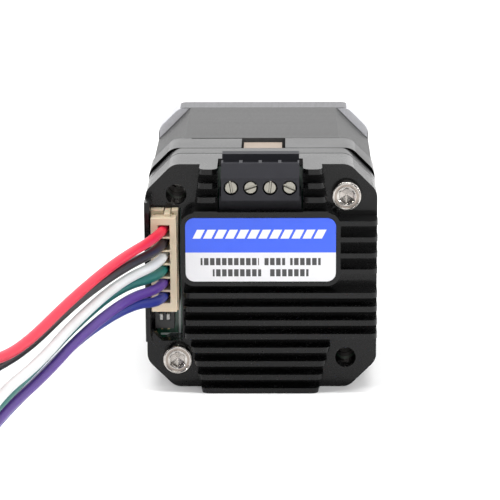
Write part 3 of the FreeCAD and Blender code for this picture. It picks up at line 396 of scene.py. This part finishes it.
# ---- Signal connector -----------------------------------------------------------------------
# A shrouded header on the board and the crimp housing plugged into it, both natural nylon. The
# six crimps inside are stamped brass, browned where they were formed.

soften("signal_header", "header_shroud", nylon, 0.10 * mm)
soften("signal_plug", "crimp_housing", nylon, 0.10 * mm)
dress(metal("crimp_brass", (0.50, 0.27, 0.10), 0.36, 0.2 * mm, (1, 0.3, 1)), "crimp_contacts")


# ---- Screw terminal -------------------------------------------------------------------------
# A glass-filled black plug on a matching socket: four plated cages rise under slotted
# cheese-head screws to grip the wires, which go in from the top.

terminal_black = moulded("glass_filled_nylon", (0.008, 0.008, 0.011, 1), (0.024, 0.024, 0.031, 1), 0.62,
                         0.18 * mm, 0.014 * mm, IOR=1.38)
soften("terminal_header", "terminal_socket", terminal_black, 0.10 * mm)
soften("terminal_plug", "terminal_block", terminal_black, 0.12 * mm)
nickel = metal("nickel_plate", (0.36, 0.345, 0.30), 0.34, 0.22 * mm, (1, 1, 0.3), 0.16, 0.03 * mm)
for k in range(1, 5):
    soften(f"clamp_cage_{k}", f"cage_{k}_plated", nickel, 0.06 * mm)
    soften(f"terminal_screw_{k}", f"pole_screw_{k}", nickel, 0.07 * mm)


# ---- Finned cover ---------------------------------------------------------------------------
# One aluminium casting: fins, the pad for the label, four flat lobes, and an opening each for
# the screw terminal and the signal connector. Its edges are tumbled before it is painted.

cover_coat = satin_coat("cover_coat", 0.003, 0.28, (ring_back,))
soften("heatsink_cover", "cover_casting", cover_coat, 0.26 * mm, 3)


# ---- Label ----------------------------------------------------------------------------------
# A printed film under clear laminate, stuck in the pad's recess: a blue band with a row of
# slanted white blocks, and two rows of plain dark bars on white below it.

label_low, label_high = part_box("nameplate")
label_mid = (label_low.x + label_high.x) / 2
band_z = label_low.z + 5.45 * mm
film = Paint("label_film", Roughness=0.34, Coat_Weight=0.35, Coat_Roughness=0.2)
x, y, z = film.axes()
across = x - label_mid


def print_row(centre, tall, reach, pitch, solid, slant=0.0):
    """A row of printed blocks, reach either side of the middle."""
    lean = across + (z - centre) * slant
    block = ((lean + 1.0) / pitch).math("FRACT") < solid
    return block * (abs(z - centre) < tall / 2) * (abs(lean) < reach)


mark = print_row(label_low.z + 8.9 * mm, 1.65 * mm, 11.9 * mm, 2.0 * mm, 0.76, -0.5)
upper = print_row(label_low.z + 3.75 * mm, 1.35 * mm, 10.9 * mm, 1.09 * mm, 0.76)
gaps = (abs(across - 0.2 * mm) < 0.5 * mm).math("MAXIMUM", abs(across - 4.9 * mm) < 0.45 * mm)
lower = print_row(label_low.z + 1.65 * mm, 1.35 * mm, 8.7 * mm, 1.09 * mm, 0.76)
space = abs(across - 0.8 * mm) < 0.7 * mm
ink = film.noise(0.12 * mm, detail=2.0)
blue = film.tint(ink, (0.010, 0.080, 0.74, 1), (0.026, 0.120, 0.92, 1))
white = film.tint(ink, grey(0.74, 1.02), grey(0.84, 1.02))
sheet_colour = film.tint(z > band_z, white, blue)
with_mark = film.tint(mark, sheet_colour, grey(0.9))
bars = (upper * (1.0 - gaps)).math("MAXIMUM", lower * (1.0 - space))
film.feed("Base Color", film.tint(bars, with_mark, grey(0.03)))
film.emboss(ink, 0.003 * mm)
soften("nameplate", "label_film", film.material, 0.04 * mm)


# ---- Cover screws ---------------------------------------------------------------------------
# Two long stainless socket-head screws hold the cover, ring and rear cap to the front cap. The
# heads are turned, so rings show on them, with a dished top and a hexagon pressed in.

around_head = 48
shank_radius = 1.5 * mm
head_height = 1.8 * mm
bolt_reach = 15.5 * mm
shank_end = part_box("cover_screws")[1].y
head_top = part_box("cover_screws")[0].y
head_base = head_top + head_height


def ring_out(form, rim, scale, drop, hexagon=False):
    """Extrudes a rim of the head, scales it about the screw's axis and moves it along Y."""
    made = bmesh.ops.extrude_edge_only(form, edges=rim)["geom"]
    points = [item for item in made if isinstance(item, bmesh.types.BMVert)]
    for point in points:
        reach = math.hypot(point.co.x, point.co.z)
        angle = math.atan2(point.co.z, point.co.x)
        target = scale
        if hexagon:
            target = scale / math.cos((angle + math.pi / 6) % (math.pi / 3) - math.pi / 6)
        point.co.x *= target / reach
        point.co.z *= target / reach
    bmesh.ops.translate(form, verts=points, vec=(0, drop, 0))
    return [item for item in made if isinstance(item, bmesh.types.BMEdge)
            and all(v in points for v in item.verts)]


screws = bmesh.new()
for x, z in ((bolt_reach, axis_z + bolt_reach), (-bolt_reach, axis_z - bolt_reach)):
    one = bmesh.new()
    bmesh.ops.create_circle(one, segments=around_head, radius=shank_radius,
                            matrix=Matrix.Rotation(math.pi / 2, 4, "X"))
    bmesh.ops.translate(one, verts=one.verts, vec=(0, shank_end, 0))
    bmesh.ops.contextual_create(one, geom=one.edges[:])
    rim = ring_out(one, one.edges[:], shank_radius, head_base - shank_end)
    rim = ring_out(one, rim, 2.62 * mm, 0)
    rim = ring_out(one, rim, 2.7 * mm, -0.08 * mm)
    for reach, drop in ((2.7, -1.40), (2.66, -0.14), (2.56, -0.12), (2.40, -0.06), (2.28, 0.07),
                        (1.86, 0.05), (1.72, -0.05)):
        rim = ring_out(one, rim, reach * mm, drop * mm)
    rim = ring_out(one, rim, 1.30 * mm, 0.16 * mm, hexagon=True)
    rim = ring_out(one, rim, 1.25 * mm, 0.06 * mm, hexagon=True)
    rim = ring_out(one, rim, 1.25 * mm, 1.0 * mm, hexagon=True)
    rim = ring_out(one, rim, 0.02 * mm, 0.45 * mm)
    bmesh.ops.contextual_create(one, geom=rim)
    bmesh.ops.recalc_face_normals(one, faces=one.faces)
    bmesh.ops.translate(one, verts=one.verts, vec=(x, 0, z))
    made = bpy.data.meshes.new("one_screw")
    one.to_mesh(made)
    one.free()
    screws.from_mesh(made)
    bpy.data.meshes.remove(made)
turned_heads = Paint("turned_stainless", Metallic=1.0)
x, y, z = turned_heads.axes()
dx = abs(x) - bolt_reach
dz = abs(z - axis_z) - bolt_reach
from_axis = (dx * dx + dz * dz).math("SQRT")
rings = (from_axis / (0.16 * mm) * (2 * math.pi)).math("SINE")
soil = turned_heads.noise(0.6 * mm, detail=4.0)
# Painted shade: a dark brown ring over the dished top and a darker hexagon socket, mixed into the
# steel's colour.
painted_shade = (abs(from_axis - 2.0 * mm) < 0.22 * mm) + (from_axis < 1.4 * mm) * 0.35
bright = turned_heads.tint(soil, (0.36, 0.34, 0.31, 1), (0.66, 0.63, 0.60, 1))
turned_heads.feed("Base Color", turned_heads.tint(painted_shade * 0.75, bright, (0.20, 0.16, 0.13, 1)))
turned_heads.feed("Roughness", soil * 0.12 + rings * 0.02 + 0.16)
turned_heads.emboss(rings, 0.006 * mm)
fit(add_piece("socket_screws", screws), turned_heads.material, "cover_screws")


# ---- Leads ----------------------------------------------------------------------------------
# Six stranded leads with PVC insulation, 1.8 mm across, crimped at the plug. They fall away to
# the left, land, and are wound two abreast and three high in one coil that a black nylon tie
# holds, with stripped ends.

lead_diameter = 1.8 * mm
coil_centre = Vector((-65.0, -95.0))
turn_loss = 3.7
points_per_turn = 16
outer_turns = 1.9
inner_turns = 2.2
strand_radius = 0.55 * mm
routes = {
    "lead_red": [(-17.6, -38.6, 31.0), (-18.0, -44.6, 30.9), (-24.7, -59.1, 30.3),
                 (-31.6, -74.2, 27.6), (-39.0, -89.5, 23.1), (-44.0, -101.1, 24.5),
                 (-45.7, -113.1, 17.9), (-57.1, -122.4, 11.0), (-69.7, -124.4, 6.7),
                 (-78.7, -118.6, 5.6), (-82.0, -109.2, 5.3), (-82.0, -101.5, 5.3)],
    "lead_black": [(-17.6, -38.6, 28.5), (-18.0, -44.6, 28.4), (-24.1, -57.5, 28.4),
                   (-31.4, -71.2, 26.2), (-38.6, -85.7, 21.8), (-44.5, -99.0, 21.9),
                   (-47.3, -111.9, 16.8), (-57.9, -120.5, 10.6), (-69.2, -122.3, 6.7),
                   (-77.1, -117.2, 5.6), (-80.1, -108.8, 5.3), (-80.1, -101.5, 5.3)],
    "lead_white": [(-17.6, -38.6, 26.0), (-18.0, -44.6, 25.8), (-24.3, -58.7, 26.4),
                   (-31.1, -74.4, 23.7), (-35.9, -89.2, 20.9), (-41.3, -101.8, 19.5),
                   (-45.7, -113.1, 13.5), (-57.1, -122.4, 8.2), (-69.7, -124.4, 4.8),
                   (-78.7, -118.6, 3.7), (-82.0, -109.2, 3.4), (-82.0, -101.5, 3.4)],
    "lead_green": [(-17.6, -38.6, 23.5), (-18.0, -44.6, 23.4), (-24.6, -56.4, 24.7),
                   (-30.9, -70.5, 22.6), (-36.1, -85.4, 19.9), (-41.3, -99.8, 17.6),
                   (-47.3, -111.9, 12.6), (-57.9, -120.5, 7.8), (-69.2, -122.3, 4.8),
                   (-77.1, -117.2, 3.7), (-80.1, -108.8, 3.4), (-80.1, -101.5, 3.4)],
    "lead_violet": [(-17.6, -38.6, 21.0), (-18.0, -44.6, 21.0), (-23.1, -58.6, 23.3),
                    (-30.5, -72.8, 20.6), (-35.4, -86.5, 17.8), (-41.7, -99.6, 15.2),
                    (-45.7, -113.1, 10.8), (-57.1, -122.4, 5.9), (-69.7, -124.4, 2.9),
                    (-78.7, -118.6, 1.8), (-82.0, -109.2, 1.5), (-82.0, -101.5, 1.5)],
    "lead_blue": [(-17.6, -38.6, 18.5), (-18.0, -44.6, 18.4), (-22.7, -55.6, 21.3),
                  (-30.6, -69.8, 19.7), (-36.5, -84.3, 16.6), (-42.2, -98.2, 13.8),
                  (-47.3, -111.9, 9.4), (-57.9, -120.5, 5.4), (-69.2, -122.3, 2.9),
                  (-77.1, -117.2, 1.8), (-80.1, -108.8, 1.5), (-80.1, -101.5, 1.5)],
}
lead_colours = {"lead_red": (0.60, 0.010, 0.040), "lead_black": (0.012, 0.008, 0.012),
                "lead_white": (0.58, 0.59, 0.59), "lead_green": (0.003, 0.115, 0.10),
                "lead_violet": (0.062, 0.018, 0.20), "lead_blue": (0.012, 0.022, 0.20)}


def insulation(name, colour):
    """Extruded PVC: fine draw lines along the lead and a slightly uneven gloss."""
    paint = Paint(name, Coat_Weight=0.12, Coat_Roughness=0.3)
    along = paint.noise(0.5 * mm, (1, 1, 1), detail=2.0)
    cloud = paint.noise(3 * mm)
    dark = tuple(c * 0.82 for c in colour) + (1,)
    light = tuple(c * 1.12 for c in colour) + (1,)
    paint.feed("Base Color", paint.tint(cloud * 0.7 + along * 0.3, dark, light))
    paint.feed("Roughness", cloud * 0.1 + along * 0.1 + 0.32)
    paint.emboss(along, 0.006 * mm)
    return paint.material


def lead_curve(name, points, radius):
    """A round strand along points given in millimetres."""
    curve = bpy.data.curves.new(name, "CURVE")
    curve.dimensions = "3D"
    curve.resolution_u = 10
    curve.bevel_depth = radius
    curve.bevel_resolution = 6
    curve.use_fill_caps = True
    spline = curve.splines.new("NURBS")
    spline.points.add(len(points) - 1)
    for place, point in zip(spline.points, points):
        place.co = (*[c * mm for c in point], 1)
    spline.order_u = 3
    spline.use_endpoint_u = True
    piece = bpy.data.objects.new(name, curve)
    bpy.context.scene.collection.objects.link(piece)
    return piece


strands = metal("tinned_strands", (0.72, 0.68, 0.6), 0.35, 0.1 * mm, (1, 1, 1))
tie_nylon = moulded("tie_nylon", grey(0.015), grey(0.03), 0.4)
tie_band = soften("coil_tie", "tie_band", tie_nylon, 0.15 * mm)
for name, route in routes.items():
    turns = outer_turns if route[-1][0] < -81 else inner_turns
    start = abs(route[-1][0] - coil_centre.x)
    height = route[-1][2]
    points = list(route)
    for k in range(int(turns * points_per_turn) + 1):
        turn = k / points_per_turn
        reach = start - turn_loss * turn
        angle = math.pi * (1 - 2 * turn)
        points.append((coil_centre.x + reach * math.cos(angle),
                       coil_centre.y + reach * math.sin(angle), height))
    lead = lead_curve(name.replace("lead_", "wire_"), points, lead_diameter / 2)
    lead.data.materials.append(insulation(name.replace("lead", "pvc"), lead_colours[name]))
    bare_end = lead_curve(name.replace("lead_", "bare_end_"), points[-2:], strand_radius)
    bare_end.data.materials.append(strands)
    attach(bare_end, "root")
    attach(lead, "root")
    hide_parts(name)
    if name == "lead_red":
        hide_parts("lead_coil")


# ---- Studio ---------------------------------------------------------------------------------
# A pale sweep of card under a sky that is bright behind and dim on the camera's side. Two tall
# soft boxes at the sides, a wide one above and a square one in front light the part.

bpy.ops.mesh.primitive_plane_add(size=6)
floor = bpy.context.object
floor.name = "studio_floor"
sweep = Paint("white_sweep", Roughness=0.9)
sweep.feed("Base Color", sweep.tint(sweep.noise(0.2), grey(0.90), grey(0.93)))
floor.data.materials.append(sweep.material)

world = bpy.data.worlds.new("studio")
bpy.context.scene.world = world
world.use_nodes = True
tree = world.node_tree
direction = tree.nodes.new("ShaderNodeTexCoord")
split = tree.nodes.new("ShaderNodeSeparateXYZ")
tree.links.new(direction.outputs["Generated"], split.inputs[0])
ramp = tree.nodes.new("ShaderNodeMapRange")
ramp.inputs["From Min"].default_value = -0.40
ramp.inputs["From Max"].default_value = 0.60
ramp.inputs["To Min"].default_value = 0.06
ramp.inputs["To Max"].default_value = 1.5
ramp.interpolation_type = "SMOOTHSTEP"
tree.links.new(split.outputs["Y"], ramp.inputs["Value"])
tree.links.new(ramp.outputs[0], tree.nodes["Background"].inputs["Strength"])
tree.nodes["Background"].inputs["Color"].default_value = (1, 1, 1, 1)


def soft_box(name, place, aim, power, wide, tall):
    light = bpy.data.lights.new(name, "AREA")
    light.shape = "RECTANGLE"
    light.size = wide
    light.size_y = tall
    light.energy = power
    lamp = bpy.data.objects.new(name, light)
    lamp.location = place
    lamp.rotation_euler = (Vector(aim) - Vector(place)).to_track_quat("-Z", "Y").to_euler()
    bpy.context.scene.collection.objects.link(lamp)


subject = (0, -20 * mm, 20 * mm)
soft_box("left_box", (-0.75, -0.35, 0.60), subject, 4.6, 0.05, 0.55)
soft_box("right_box", (0.80, -0.20, 0.45), subject, 5.2, 0.05, 0.55)
soft_box("top_box", (0.0, -0.08, 0.80), subject, 4.6, 0.70, 0.07)
soft_box("front_box", (0.10, -0.95, 0.50), subject, 2.0, 0.50, 0.50)

camera_data = bpy.data.cameras.new("camera")
camera_data.sensor_width = 36
camera_data.lens = 176.77
camera = bpy.data.objects.new("camera", camera_data)
aim = Vector((-2.08, -37.05, 26.18)) * mm
distance = 449.34 * mm
azimuth = math.radians(-0.818)
elevation = math.radians(14.862)
look = Vector((math.sin(azimuth) * math.cos(elevation), math.cos(azimuth) * math.cos(elevation),
               -math.sin(elevation)))
upright = look.to_track_quat("-Z", "Y").to_matrix().to_4x4()
roll = Matrix.Rotation(math.radians(-0.265), 4, "Z")
camera.matrix_world = Matrix.Translation(aim - look * distance) @ upright @ roll
bpy.context.scene.collection.objects.link(camera)
bpy.context.scene.camera = camera
bpy.context.scene.view_settings.view_transform = "Standard"

bpy.context.view_layer.update()
